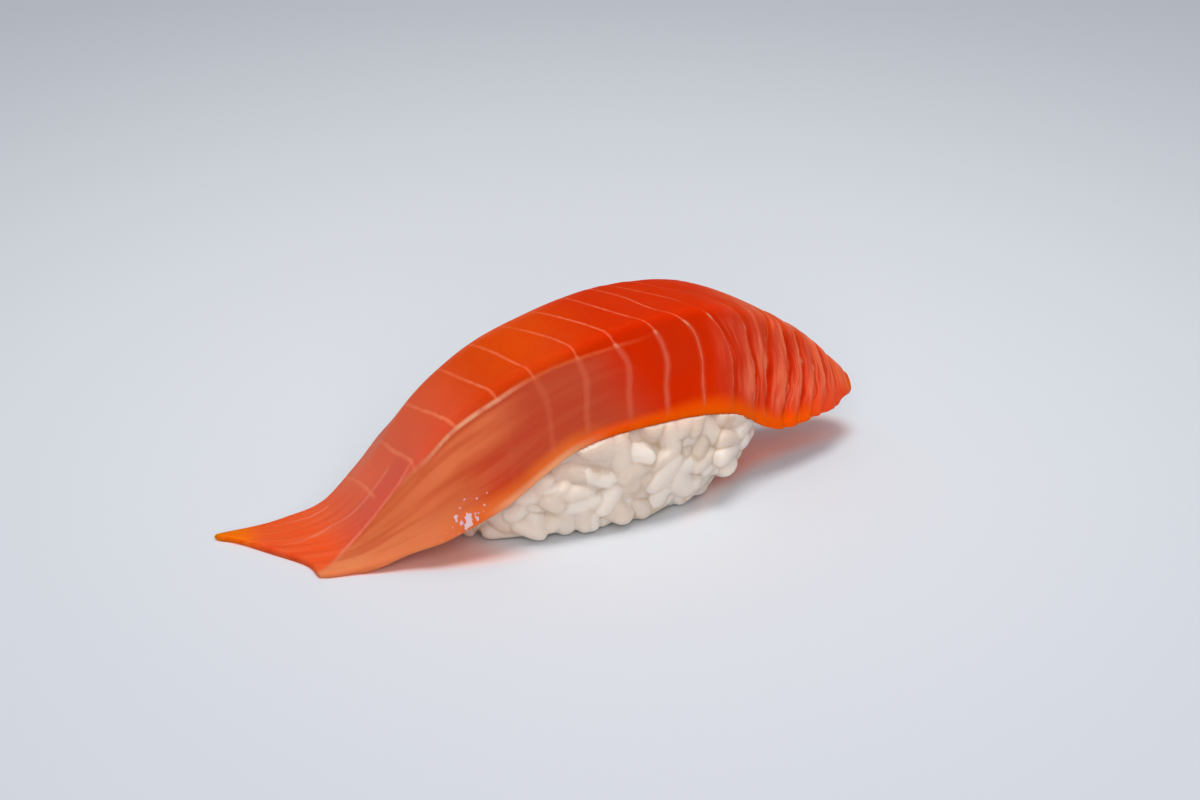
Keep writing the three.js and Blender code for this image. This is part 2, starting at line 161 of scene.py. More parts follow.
def smooth(low, high, value):
    """0 below low, 1 above high, and a smooth step between; low may be the larger."""
    t = np.clip((value - low) / (high - low), 0, 1)
    return t * t * (3 - 2 * t)


def window(value, start, full, fades, end):
    """1 from full to fades, 0 outside start and end, smooth between."""
    return smooth(start, full, value) * smooth(end, fades, value)


def mixed(a, b, share):
    """a at share 0, b at share 1."""
    return a + (b - a) * share


def through(stations, values, at):
    """Smooth curve through stations: the cubic that takes each station's mean slope. Values may be arrays."""
    stations = np.asarray(stations, float)
    x = np.clip(at, stations[0], stations[-1])
    step = np.diff(stations)
    rise = [(values[k + 1] - values[k]) / step[k] for k in range(len(step))]
    slope = [rise[0]]
    for k in range(1, len(step)):
        slope.append((rise[k - 1] * step[k] + rise[k] * step[k - 1]) / (step[k - 1] + step[k]))
    slope.append(rise[-1])
    i = np.clip(np.searchsorted(stations, x, side="right") - 1, 0, len(step) - 1)
    t = (x - stations[i]) / step[i]
    return (
        np.choose(i, values[:-1]) * (1 + 2 * t) * (1 - t) ** 2
        + np.choose(i, values[1:]) * t * t * (3 - 2 * t)
        + t * (1 - t) * step[i] * ((1 - t) * np.choose(i, slope[:-1]) - t * np.choose(i, slope[1:]))
    )


def column(table, x, number):
    """The value at x of one column of a table whose first column is x."""
    return through(table[:, 0], list(table[:, number]), x)


# ---- Shape of the slice ----


def out_and_down(distance, fold, slope, radius):
    """How far out and down the face has come at a distance from the crown."""
    shoulder = np.minimum(SHOULDER_SLOPE, slope)
    turn = np.maximum(slope - shoulder, 1e-3)
    half_fold = np.minimum(radius * turn / 2, fold * 0.8)
    fold_start = fold - half_fold

    def arc(length, start, bend):
        end = start + bend * length
        return (np.sin(end) - np.sin(start)) / bend, (np.cos(start) - np.cos(end)) / bend

    top = arc(np.minimum(distance, fold_start), 0, shoulder / fold_start)
    in_fold = np.clip(distance - fold_start, 0, 2 * half_fold)
    rounding = arc(in_fold, shoulder, turn / (2 * half_fold))
    flap = np.maximum(distance - fold_start - 2 * half_fold, 0)
    out = top[0] + rounding[0] + flap * np.cos(slope)
    down = top[1] + rounding[1] + flap * np.sin(slope)
    return out, down


def aslant_x(crown_x, across):
    """x of the point at a place across (-1 near edge, 0 crown, 1 far edge) of the line through crown_x."""
    edge, flap, fold, far_edge = (crown_x + column(ASLANT, crown_x, k) for k in (1, 2, 3, 4))
    return through([-1, -FLAP_ACROSS, -FOLD_ACROSS, 0, 1], [edge, flap, fold, crown_x, far_edge], across)


def side_form(x, near):
    """Fold distance, slope, width and fold radius of the slice's near or far side at x."""
    fold = np.where(near, column(SECTIONS, x, NEAR_FOLD), column(SECTIONS, x, FAR_FOLD))
    slope = np.radians(np.where(near, column(SECTIONS, x, NEAR_SLOPE), column(SECTIONS, x, FAR_SLOPE)))
    width = np.where(near, column(SECTIONS, x, NEAR_WIDTH), column(SECTIONS, x, FAR_WIDTH))
    radius = np.where(near, NEAR_FOLD_RADIUS, FAR_FOLD_RADIUS)
    return fold, slope, width, radius


def under_out_and_down(t, depth, fold, slope, width, radius):
    """How far out and down the underside lies: a cubic from under the crown, t = 0, to the edge, t = 1."""
    edge_out, edge_down = out_and_down(width, fold, slope, radius)
    edge_out = edge_out - EDGE_THICKNESS * np.sin(slope)
    edge_down = edge_down + EDGE_THICKNESS * np.cos(slope)
    lead = UNDER_LEAD * (width - fold)
    out = (
        3 * (1 - t) ** 2 * t * UNDER_FLAT * fold
        + 3 * (1 - t) * t * t * (edge_out - lead * np.cos(slope))
        + t**3 * edge_out
    )
    down = (
        ((1 - t) ** 3 + 3 * (1 - t) ** 2 * t) * depth
        + 3 * (1 - t) * t * t * (edge_down - lead * np.sin(slope))
        + t**3 * edge_down
    )
    return out, down


def slice_faces(crown_x, across):
    """The slice's upper and under points, and the signed distance from the crown along the upper face."""
    x = aslant_x(crown_x, across)
    near = across < 0
    side = np.where(near, -1, 1)
    fold, slope, width, radius = side_form(x, near)
    crown_y = column(SECTIONS, x, 1)
    crown_z = column(SECTIONS, x, 2)

    share = np.abs(across)
    past_fold = (share - FOLD_ACROSS) / (1 - FOLD_ACROSS)
    distance = np.where(share < FOLD_ACROSS, share / FOLD_ACROSS * fold, mixed(fold, width, past_fold))
    out, down = out_and_down(distance, fold, slope, radius)
    upper = np.stack([x, crown_y + side * out, np.maximum(crown_z - down, LEAST_HEIGHT)], -1)

    depth = column(THICKNESS, x, 1)
    under_out, under_down = under_out_and_down(share, depth, fold, slope, width, radius)
    under = np.stack([x, crown_y + side * under_out, crown_z - under_down], -1)

    inward = under - upper
    full_thickness = np.linalg.norm(inward, axis=-1)
    from_end = np.minimum(crown_x - TAIL_X, THICK_END_X - crown_x)
    thickness = mixed(EDGE_THICKNESS, full_thickness, smooth(0, END_TAPER, from_end))
    under = upper + inward * (thickness / full_thickness)[..., None]
    under[..., 2] = np.maximum(under[..., 2], 0)
    return upper, under, side * distance


def edge_distance(x, distance):
    """How far from the nearer long edge a point of the upper face lies."""
    width = np.where(distance < 0, column(SECTIONS, x, NEAR_WIDTH), column(SECTIONS, x, FAR_WIDTH))
    return np.maximum(width - np.abs(distance), 0)


def flake_place(x, distance):
    """Which flake a point is in, as a number that is whole on each pale line, and the flakes' pitch there."""
    reach = np.clip(distance, FLAKE_REACH[0], FLAKE_REACH[-1])
    lines = [through(FLAKE_REACH, list(row), reach) for row in FLAKES]
    place = np.zeros_like(x)
    pitch = np.full_like(x, 6.0)
    ripple = np.sin(0.9 * distance + 1.9 * x) + 0.6 * np.sin(1.9 * distance - 3.1 * x)
    x = x + WAVER * ripple * smooth(14, 26, x)
    gaps = [after - before for before, after in zip(lines, lines[1:])]
    for k, gap in enumerate(gaps):
        inside = (x >= lines[k]) & (x < lines[k + 1])
        share = (x - lines[k]) / gap
        before = (gaps[max(k - 1, 0)] + gap) / 2
        after = (gap + gaps[min(k + 1, len(gaps) - 1)]) / 2
        place = np.where(inside, k + share, place)
        pitch = np.where(inside, mixed(before, after, share), pitch)
    return place, pitch


def pleat_depth(x, distance, place, pitch):
    """How far the face lies below the pleats' crests."""
    share = place - np.floor(place)
    flake = np.floor(place)
    crest_at = PLEAT_CREST + PLEAT_CREST_SWING * np.sin(1.7 * flake + 0.35 * distance)
    crest = smooth(0, crest_at, share) * smooth(0, PLEAT_DROP, (1 - share) * pitch)
    on_top = mixed(1, PLEAT_ON_TOP, smooth(-6, 0, distance) * smooth(38, 28, x))
    uneven = 0.85 + 0.25 * np.sin(0.5 * distance + 2.1 * flake) + 0.25 * np.sin(1.3 * distance + 4.7 * flake)
    return column(PLEATS, x, 1) * on_top * uneven * (1 - crest)


def row_stations():
    """x at the crown of each row of points, closer together among the pleats."""
    before = np.arange(TAIL_X, PLEAT_ROWS_FROM, ROW_STEP)
    after = np.linspace(PLEAT_ROWS_FROM, THICK_END_X, round((THICK_END_X - PLEAT_ROWS_FROM) / PLEAT_ROW_STEP))
    return np.concatenate([before, after])


def surface_normals(points):
    """Unit normals of a grid of points."""
    normal = np.cross(np.gradient(points, axis=0), np.gradient(points, axis=1))
    return normal / np.linalg.norm(normal, axis=-1, keepdims=True)


def rim(upper, under, outward):
    """Points of the half round from an upper edge over to the under edge, without those two."""
    middle = (upper + under) / 2
    half = upper - middle
    reach = RIM_BULGE * np.linalg.norm(half, axis=-1, keepdims=True)
    angles = np.linspace(0, np.pi, RIM_FACES + 1)[1:-1]
    return [middle + half * np.cos(a) + outward * reach * np.sin(a) for a in angles]


def unit(vectors):
    """The same directions at length 1."""
    return vectors / np.maximum(np.linalg.norm(vectors, axis=-1, keepdims=True), 1e-9)


def slice_rings():
    """Rings of points round the slice, one a row, with the values that the material needs at each point."""
    near = -np.linspace(1, 0, NEAR_FACES + 1)
    far = np.linspace(0, 1, FAR_FACES + 1)[1:]
    across, crown_x = np.meshgrid(np.concatenate([near, far]), row_stations())
    upper, under, distance = slice_faces(crown_x, across)
    x = upper[..., 0]
    place, pitch = flake_place(x, distance)
    normal = surface_normals(upper)
    upper = upper - normal * pleat_depth(x, distance, place, pitch)[..., None]
    under[..., 2] = np.minimum(under[..., 2], upper[..., 2] - LEAST_THICKNESS)

    far_rim = rim(upper[:, -1], under[:, -1], unit(upper[:, -1] - upper[:, -4]))
    near_rim = rim(upper[:, 0], under[:, 0], unit(upper[:, 0] - upper[:, 3]))
    rings = np.concatenate(
        [upper, np.stack(far_rim, 1), under[:, ::-1], np.stack(near_rim[::-1], 1)], axis=1
    )

    def round_the_ring(values):
        far_values = np.repeat(values[:, -1:], RIM_FACES - 1, 1)
        near_values = np.repeat(values[:, :1], RIM_FACES - 1, 1)
        return np.concatenate([values, far_values, values[:, ::-1], near_values], axis=1)

    values = {"x": x, "distance": distance, "across": across, "place": place, "pitch": pitch}
    values["edge_mm"] = edge_distance(x, distance)
    values = {name: round_the_ring(table) for name, table in values.items()}
    is_under = np.zeros(rings.shape[:2])
    is_under[:, upper.shape[1] : rings.shape[1] - RIM_FACES + 1] = 1
    values["underside"] = is_under
    return rings, values


def with_round_ends(rings, values):
    """Adds rings that close each end of the slice in a half round."""
    count = rings.shape[1]
    partner = (2 * (NEAR_FACES + FAR_FACES) + RIM_FACES - np.arange(count)) % count
    for end, neighbour in ((0, 2), (-1, -3)):
        outward = unit(rings[end] - rings[neighbour])
        added = rim(rings[end], rings[end][partner], outward)[: RIM_FACES // 2]
        added = np.stack(added if end else added[::-1])
        rings = np.concatenate([rings, added] if end else [added, rings])
        for name, table in values.items():
            more = np.repeat(table[end][None], len(added), 0)
            values[name] = np.concatenate([table, more] if end else [more, table])
    return rings, values


# ---- Meshes ----


def set_numbers(mesh, attributes):
    """Gives a mesh named numbers, one a point."""
    for key, values in attributes.items():
        layer = mesh.attributes.new(key, "FLOAT", "POINT")
        layer.data.foreach_set("value", np.asarray(values, np.float32).ravel())


def shade_smooth(mesh):
    mesh.polygons.foreach_set("use_smooth", [True] * len(mesh.polygons))


def mesh_object(name, points, faces, attributes, colours=None):
    """A smooth-shaded object from points in millimetres and faces, with named numbers and colours a point."""
    mesh = bpy.data.meshes.new(name)
    mesh.from_pydata((np.asarray(points) * MM).tolist(), [], faces)
    set_numbers(mesh, attributes)
    for key, values in (colours or {}).items():
        layer = mesh.attributes.new(key, "FLOAT_COLOR", "POINT")
        layer.data.foreach_set("color", np.asarray(values, np.float32).ravel())
    shade_smooth(mesh)
    item = bpy.data.objects.new(name, mesh)
    bpy.context.scene.collection.objects.link(item)
    return item


def ring_faces(rings, size, first=0, clockwise=False):
    """Quads between rings of points, from point number first on, that face outward.

    Seen from the last ring, the points of a ring run counterclockwise, or clockwise where it says so.
    """
    start = first + np.arange(rings - 1)[:, None] * size + np.arange(size)
    after = np.roll(start, -1, axis=1)
    corners = [start, after, after + size, start + size]
    if clockwise:
        corners = [start, start + size, after + size, after]
    return np.stack(corners, -1).reshape(-1, 4).tolist()


def weld(item, distance):
    """Joins points closer than a distance in millimetres and drops the faces that this flattens."""
    bm = bmesh.new()
    bm.from_mesh(item.data)
    bmesh.ops.remove_doubles(bm, verts=bm.verts, dist=distance * MM)
    bmesh.ops.dissolve_degenerate(bm, edges=bm.edges, dist=distance * MM)
    bmesh.ops.recalc_face_normals(bm, faces=bm.faces)
    bm.to_mesh(item.data)
    bm.free()
    shade_smooth(item.data)


# ---- Where the slice's colours lie ----


def srgb(red, green, blue):
    """A colour given as 0 to 255 in sRGB, as linear red, green, blue, alpha."""
    shares = [value / 255 for value in (red, green, blue)]
    linear = [v / 12.92 if v <= 0.04045 else ((v + 0.055) / 1.055) ** 2.4 for v in shares]
    return (*linear, 1)


# The flesh's own red, painted a little darker for the top, which takes the strong light from above.
FLESH_RED = srgb(203, 43, 0)
FLESH_ORANGE = srgb(216, 70, 4)
# Pink of the flesh towards the tail; also a painted sheen along the far shoulder.
PINK_FLESH_AND_SHEEN = srgb(228, 104, 74)
# Painted light: the near face's red, set lighter than the top's to even out the light from above.
NEAR_PAINTED_LIGHT_RED = srgb(216, 44, 0)
TAIL_RED = srgb(234, 87, 38)
TAIL_TIP = srgb(255, 112, 0)
# Painted sheen: a greyish pink band just above the near fold by the tail.
TAIL_SHEEN_MAUVE = srgb(204, 84, 74)
NEAR_TAN = srgb(210, 106, 62)
NEAR_PALE = srgb(230, 130, 82)
# Painted shade and sheen: a dull brown-red on the near flap, for the shade behind the thin flesh and a soft
# sheen on it.
NEAR_SHADE_AND_SHEEN_BROWN = srgb(196, 78, 48)
LOBE_ORANGE = srgb(222, 132, 84)
# The next three are painted light: the glow where light comes through the slice's thin edges.
LOW_EDGE_GLOW = srgb(226, 110, 44)
PALE_EDGE_GLOW = srgb(236, 162, 116)
EDGE_GLOW = srgb(250, 92, 0)
END_RED = srgb(232, 78, 40)
END_TIP = srgb(250, 92, 2)

# Long pale lines: each a list of (x, distance from the crown). The fold's line parts the top from the flap;
# its paleness is a painted highlight.
NEAR_FOLD_LINE = [
    (-50.0, -13.0), (-46.4, -10.7), (-43.1, -7.3), (-38.8, -5.6), (-35.4, -5.2), (-33.0, -5.6), (-30.0, -7.2),
    (-26.0, -7.6), (-19.9, -8.8), (-10.9, -9.1), (-3.9, -9.9), (2.6, -10.0), (11.6, -8.0), (16.7, -6.4),
]
TAIL_LINES = {
    "tail_line_near": [
        (-48.0, -12.4), (-46.4, -10.7), (-43.1, -7.3), (-41.0, -6.0),
        (-38.8, -5.4), (-36.5, -5.1), (-33.8, -4.9), (-31.6, -4.6),
    ],
    "tail_line_middle": [
        (-51.6, -3.0), (-47.6, -2.9), (-45.0, -2.1), (-42.5, -1.2),
        (-39.8, -1.6), (-37.0, -1.4), (-33.6, -0.7),
    ],
    "tail_line_far": [(-50.0, 3.0), (-45.6, 3.4), (-44.2, 3.4), (-40.8, 4.3)],
}


def line_offset(line, x, distance):
    """Signed distance in mm from a long line."""
    line_x, line_distance = zip(*line)
    at = np.interp(x, line_x, line_distance)
    slope = np.interp(x + 0.5, line_x, line_distance) - np.interp(x - 0.5, line_x, line_distance)
    return (at - distance) / np.sqrt(1 + slope**2)


def covered(colours, *layers):
    """Colours under further layers, each a colour and how far it covers what lies below."""
    for colour, share in layers:
        colours = colours + (np.array(colour) - colours) * np.asarray(share)[..., None]
    return colours


def patch(x, distance, middle, reach):
    """1 round the middle of a patch and 0 at its reach along and across the slice."""
    away = np.sqrt(((x - middle[0]) / reach[0]) ** 2 + ((distance - middle[1]) / reach[1]) ** 2)
    return smooth(1, 0.3, away)


def top_colours(x, distance, below_fold):
    """Red flesh, more orange left of the middle and pink to the tail, the tail's red, painted sheens and a
    lighter near face.
    """
    top = smooth(0.5, -0.5, below_fold)
    # Painted sheen in a band just above the near fold by the tail.
    sheen_band = window(below_fold, -6.0, -2.5, -0.6, 0.0) * window(x, -45, -38, -34, -30)
    return covered(
        np.tile(FLESH_RED, (*x.shape, 1)),
        (FLESH_ORANGE, window(x, -40, -24, -14, 0) * top),
        (FLESH_ORANGE, 0.6 * smooth(16, 28, x)),
        (PINK_FLESH_AND_SHEEN, smooth(-19, -36, x) * top),
        # Painted sheen: paler pink along the far shoulder, where the top turns away.
        (PINK_FLESH_AND_SHEEN, 0.45 * smooth(4.5, 7.5, distance) * smooth(8, -14, x)),
        # Painted light: the near face's lighter red, begun a little above the fold so that no dark band shows
        # there.
        (NEAR_PAINTED_LIGHT_RED, smooth(-4.5, 0.5, below_fold) * smooth(-12, 0, x)),
        (TAIL_RED, smooth(-37, -46, x)),
        (TAIL_SHEEN_MAUVE, 0.5 * sheen_band),
    )


def with_near_flap(colours, x, below_fold, near_edge):
    """Adds the near flap: brown over the rice, painted as shade and sheen; tan and pale under the fold;
    orange in the left lobe; painted glow along the low edge.
    """
    near = 1 - smooth(0.5, -0.5, below_fold)
    brown_x = x - 0.6 * (below_fold - 4)
    under_fold = window(below_fold, 0.4, 1.5, 4.0, 8.0) * window(x, -37, -31, -23, -14)
    return covered(
        colours,
        (NEAR_TAN, near * smooth(-18, -28, x)),
        # Painted shade and sheen on the near flap.
        (NEAR_SHADE_AND_SHEEN_BROWN, near * window(brown_x, -29, -21, -9, 4)),
        (NEAR_PALE, 0.75 * under_fold),
        (LOBE_ORANGE, near * smooth(7.0, 0.5, near_edge) * smooth(-22, -32, x)),
        # Painted glow along the low edge, where light comes through the thin flesh.
        (LOW_EDGE_GLOW, near * smooth(3.6, 1.2, near_edge) * window(x, -32, -25, -10, -3)),
    )


def flesh_colours(values):
    """Colour of the flesh at each point of the rings, with its painted light and shade, before its lines,
    streaks and pleats.
    """
    x = values["x"]
    distance = values["distance"]
    edge_mm = values["edge_mm"]
    below_fold = line_offset(NEAR_FOLD_LINE, x, distance)
    near_edge = np.where(distance < 0, edge_mm, 99)
    glow_reach = mixed(2.2, 3.6, smooth(2, 16, x))
    return covered(
        with_near_flap(top_colours(x, distance, below_fold), x, below_fold, near_edge),
        # Painted glow where light comes through the thin edges.
        (EDGE_GLOW, smooth(glow_reach, 0.4, edge_mm) * window(x, -14, -4, 36, 44)),
        (PALE_EDGE_GLOW, smooth(1.3, 0.3, near_edge) * window(x, -25, -19, -11, -3)),
        (END_RED, window(x, 33, 39, 42, 45)),
        (END_TIP, patch(x, distance, (45.0, -2.0), (4.2, 5.5))),
        (TAIL_TIP, smooth(-51.0, -55.0, x - 0.2 * distance)),
    )


def flake_line_shares(distance, edge_mm, place):
    """How plainly the nearest pale line between flakes shows on the top and on the near flap."""
    line_k = np.clip(np.round(place).astype(int), 0, len(FLAKES) - 1)
    top_share = np.asarray(TOP_SHARE)[line_k] * mixed(1, 0.55, smooth(-3, 6, distance))
    top_share = top_share * np.where(line_k == HALF_LINE, smooth(-3.6, -2.4, distance), 1)
    flap_share = np.asarray(FLAP_SHARE)[line_k] * smooth(0.4, 3.0, edge_mm)
    return top_share, flap_share


def speck_share(x, distance):
    """How thickly the pale specks lie: a small patch by the near edge with some more round it."""
    core = patch(x, distance, (-26.2, -20.8), (0.9, 2.8))
    around = patch(x, distance, (-27.5, -20.4), (7.0, 4.0))
    return np.maximum(core, 0.38 * around)


def slice_numbers(values):
    """What the flesh's material needs at each point: places, distances, and how plainly things show there."""
    x = values["x"]
    distance = values["distance"]
    edge_mm = values["edge_mm"]
    below_fold = line_offset(NEAR_FOLD_LINE, x, distance)
    near = smooth(-0.4, 0.6, below_fold)
    top_share, flap_share = flake_line_shares(distance, edge_mm, values["place"])
    streaked_flap = near * mixed(0.25, 1, smooth(-14, -28, x)) * smooth(4, -6, x)
    pleated = smooth(13, 26, x) * smooth(0.6, 4.5, edge_mm)
    numbers = {
        "along": x,
        "across": values["across"],
        "side": distance,
        "underside": values["underside"],
        "flake": values["place"],
        "flake_pitch": values["pitch"],
        "thin_line": mixed(top_share, flap_share * smooth(3, 14, x), near),
        "soft_line": flap_share * near * smooth(18, 8, x),
        "fold_mm": below_fold,
        # Where the painted highlight along the near fold shows: crisp, faint, and as glints where flake lines
        # meet it.
        "fold_highlight_crisp": mixed(0.35, 1, smooth(-31, -27, x)) * window(x, -35, -32, -22, -13),
        "fold_highlight_faint": window(x, -21, -14, -6, 8),
        "fold_glint_dots": smooth(-12, 0, x),
        "streaked": np.maximum(streaked_flap, 0.5 * smooth(-34, -44, x)),
        "pleated": pleated * mixed(0.35, 1, np.maximum(near, smooth(20, 32, x))),
        "specked": speck_share(x, distance),
    }
    for name, line in TAIL_LINES.items():
        numbers[name] = line_offset(line, x, distance)
        start, end = line[0][0], line[-1][0]
        numbers[name + "_shown"] = window(x, start, start + 7, end - 1, end)
    return numbers


# ---- Materials ----


class Nodes:
    """Short names for building one material's node tree."""

    def __init__(self, name):
        self.material = bpy.data.materials.new(name)
        self.material.use_nodes = True
        self.tree = self.material.node_tree
        self.tree.nodes.clear()
        self.shader = self.tree.nodes.new("ShaderNodeBsdfPrincipled")
        output = self.tree.nodes.new("ShaderNodeOutputMaterial")
        self.tree.links.new(self.shader.outputs[0], output.inputs["Surface"])

    def put(self, socket, value):
        """Links a socket to another, or sets its own value."""
        if isinstance(value, bpy.types.NodeSocket):
            self.tree.links.new(value, socket)
        else:
            socket.default_value = value

    def attribute(self, name, output="Fac"):
        node = self.tree.nodes.new("ShaderNodeAttribute")
        node.attribute_name = name
        return node.outputs[output]

    def math(self, kind, *values):
        node = self.tree.nodes.new("ShaderNodeMath")
        node.operation = kind
        for socket, value in zip(node.inputs, values):
            self.put(socket, value)
        return node.outputs[0]

    def product(self, *values):
        result = values[0]
        for value in values[1:]:
            result = self.math("MULTIPLY", result, value)
        return result

    def ramp(self, value, low, high, low_out=0.0, high_out=1.0):
        """A smooth step from low to high; low may be the larger."""
        node = self.tree.nodes.new("ShaderNodeMapRange")
        node.interpolation_type = "SMOOTHSTEP"
        if low > high:
            low, high, low_out, high_out = high, low, high_out, low_out
        for socket, number in zip(node.inputs[:5], (value, low, high, low_out, high_out)):
            self.put(socket, number)
        return node.outputs[0]

    def distance(self, place, point):
        node = self.tree.nodes.new("ShaderNodeVectorMath")
        node.operation = "DISTANCE"
        self.put(node.inputs[0], place)
        self.put(node.inputs[1], point)
        return node.outputs["Value"]

    def noise(self, vector, scale, detail=2.0):
        node = self.tree.nodes.new("ShaderNodeTexNoise")
        self.put(node.inputs["Vector"], vector)
        node.inputs["Scale"].default_value = scale
        node.inputs["Detail"].default_value = detail
        return node.outputs["Fac"]

    def streaks(self, along, along_scale, aside, aside_scale, detail):
        """Noise over two coordinates, each with its own scale."""
        node = self.tree.nodes.new("ShaderNodeCombineXYZ")
        self.put(node.inputs["X"], self.product(along, along_scale))
        self.put(node.inputs["Y"], self.product(aside, aside_scale))
        return self.noise(node.outputs[0], 1.0, detail)

    def openness(self, reach):
        """1 where nothing stands close above a face, towards 0 under things."""
        node = self.tree.nodes.new("ShaderNodeAmbientOcclusion")
        node.inputs["Distance"].default_value = reach
        return node.outputs["AO"]

    def position(self):
        node = self.tree.nodes.new("ShaderNodeTexCoord")
        return node.outputs["Object"]

    def mix(self, share, below, above):
        node = self.tree.nodes.new("ShaderNodeMix")
        node.data_type = "RGBA"
        self.put(node.inputs["Factor"], share)
        colours = [socket for socket in node.inputs if socket.type == "RGBA"]
        self.put(colours[0], below)
        self.put(colours[1], above)
        return [socket for socket in node.outputs if socket.type == "RGBA"][0]

    def layers(self, colour, *layers):
        """A colour under further layers, each a colour and how far it covers what lies below."""
        for above, *shares in layers:
            colour = self.mix(self.product(*shares), colour, above)
        return colour

    def bump(self, height, distance, normal=None):
        node = self.tree.nodes.new("ShaderNodeBump")
        node.inputs["Distance"].default_value = distance
        self.put(node.inputs["Height"], height)
        if normal is not None:
            self.put(node.inputs["Normal"], normal)
        return node.outputs[0]

    def surface(self, **values):
        """Sets or links the shader's sockets, with _ for a space in their names."""
        for name, value in values.items():
            self.put(self.shader.inputs[name.replace("_", " ")], value)


LINE_PALE = srgb(242, 140, 98)
LINE_SOFT = srgb(222, 118, 88)
TAIL_LINE = srgb(232, 140, 116)
# Painted highlight along the near fold, with painted glints where flake lines meet it.
FOLD_HIGHLIGHT_CREAM = srgb(230, 168, 130)
FOLD_FAINT_HIGHLIGHT = srgb(228, 118, 66)
STREAK_DARK = srgb(184, 56, 32)
STREAK_LIGHT = srgb(224, 124, 84)
# Painted light and shade on the pleats: sheen pink for the crests, and deep red for the shade in the drops,
# also used for streaks along them.
CREST_SHEEN_PINK = srgb(238, 116, 82)
SHADE_AND_STREAK_RED = srgb(192, 30, 0)
SPECK_WHITE = srgb(226, 206, 218)
LINE_WAVER = 0.25  # millimetres that a flake line strays
# Metres of relief.
FIBRE_HEIGHT = 0.00006
STREAK_HEIGHT = 0.00025
SPECK_HEIGHT = 0.0002


def distance_from_flake_line(n):
    """Millimetres from the nearest pale line between two flakes, wavering a little."""
    share = n.math("FRACT", n.attribute("flake"))
    to_line = n.math("SUBTRACT", 0.5, n.math("ABSOLUTE", n.math("SUBTRACT", share, 0.5)))
    waver = n.math("SUBTRACT", n.noise(n.position(), 900, 1.0), 0.5)
    return n.math("ADD", n.product(to_line, n.attribute("flake_pitch")), n.product(waver, LINE_WAVER))


def with_muscle_streaks(n, colour, streaks):
    """Adds long streaks of muscle that run with the slice down its near face and tail."""
    streaked = n.attribute("streaked")
    filaments = n.streaks(n.attribute("along"), 0.09, n.attribute("across"), 34.0, 2.0)
    return n.layers(
        colour,
        (STREAK_DARK, n.ramp(streaks, 0.5, 0.32), streaked, 0.36),
        (STREAK_LIGHT, n.ramp(streaks, 0.5, 0.68), streaked, 0.4),
        (STREAK_LIGHT, n.ramp(filaments, 0.56, 0.72), streaked, 0.25),
    )


def with_pleats(n, colour):
    """Adds the pleats: painted sheen pink towards each crest, painted shade deep red in the drop behind it,
    creased along.
    """
    pleated = n.attribute("pleated")
    flake = n.attribute("flake")
    side = n.attribute("side")
    share = n.math("FRACT", flake)
    from_drop = n.product(share, n.attribute("flake_pitch"))
    patchy = n.ramp(n.streaks(n.attribute("along"), 0.35, side, 0.16, 1.0), 0.35, 0.6, 0.45, 1.0)
    creases = n.streaks(flake, 5.3, side, 0.11, 1.5)
    return n.layers(
        colour,
        # Painted sheen towards each crest.
        (CREST_SHEEN_PINK, n.ramp(share, 0.15, 0.7), pleated, patchy, 0.85),
        (SHADE_AND_STREAK_RED, n.ramp(creases, 0.52, 0.36), pleated, 0.45),
        (LINE_PALE, n.ramp(creases, 0.54, 0.66), pleated, 0.3),
        # Painted shade in the drop behind each crest.
        (SHADE_AND_STREAK_RED, n.ramp(from_drop, 0.6, 0.05), pleated, 0.6),
    )


def with_flake_lines(n, colour, line_mm, broken):
    """Adds the lines between flakes: soft ones down the near flap, thin broken ones over the top."""
    return n.layers(
        colour,
        (LINE_SOFT, n.ramp(line_mm, 0.85, 0.05), n.attribute("soft_line"), 0.6),
        (LINE_PALE, n.ramp(line_mm, 0.32, 0.03), n.attribute("thin_line"), broken, 0.54),
    )


def with_fold_highlight(n, colour, line_mm, broken):
    """Adds the painted highlight along the near fold: crisp, then faint, then painted glints as dots where
    flake lines meet it.
    """
    fold_mm = n.math("ABSOLUTE", n.attribute("fold_mm"))
    dots = n.product(n.ramp(fold_mm, 0.7, 0.2), n.ramp(line_mm, 0.5, 0.15), n.attribute("fold_glint_dots"))
    return n.layers(
        colour,
        (FOLD_HIGHLIGHT_CREAM, n.ramp(fold_mm, 0.6, 0.1), n.attribute("fold_highlight_crisp"), broken),
        (FOLD_FAINT_HIGHLIGHT, n.ramp(fold_mm, 0.5, 0.05), n.attribute("fold_highlight_faint"), broken, 0.45),
        (FOLD_HIGHLIGHT_CREAM, dots, n.attribute("thin_line"), 0.7),
    )


def with_tail_lines(n, colour, broken):
    for name in TAIL_LINES:
        offset = n.math("ABSOLUTE", n.attribute(name))
        shown = n.attribute(name + "_shown")
        colour = n.layers(colour, (TAIL_LINE, n.ramp(offset, 0.42, 0.05), shown, broken, 0.55))
    return colour


def pale_specks(n):
    """1 on the small pale specks by the near edge, 0 between them."""
    specked = n.attribute("specked")
    level = n.math("ADD", n.noise(n.position(), 950, 1.0), n.product(specked, 0.42))
    return n.product(n.ramp(level, 0.74, 0.78), n.ramp(specked, 0.02, 0.2))


def flesh_relief(n, streaks, specks):
    """Fine fibres, muscle streaks and raised specks, as a normal."""
    fibres = n.streaks(n.attribute("along"), 5.0, n.attribute("side"), 1.2, 2.0)
    normal = n.bump(fibres, FIBRE_HEIGHT)
    normal = n.bump(n.product(streaks, n.attribute("streaked")), STREAK_HEIGHT, normal)
    return n.bump(specks, SPECK_HEIGHT, normal)


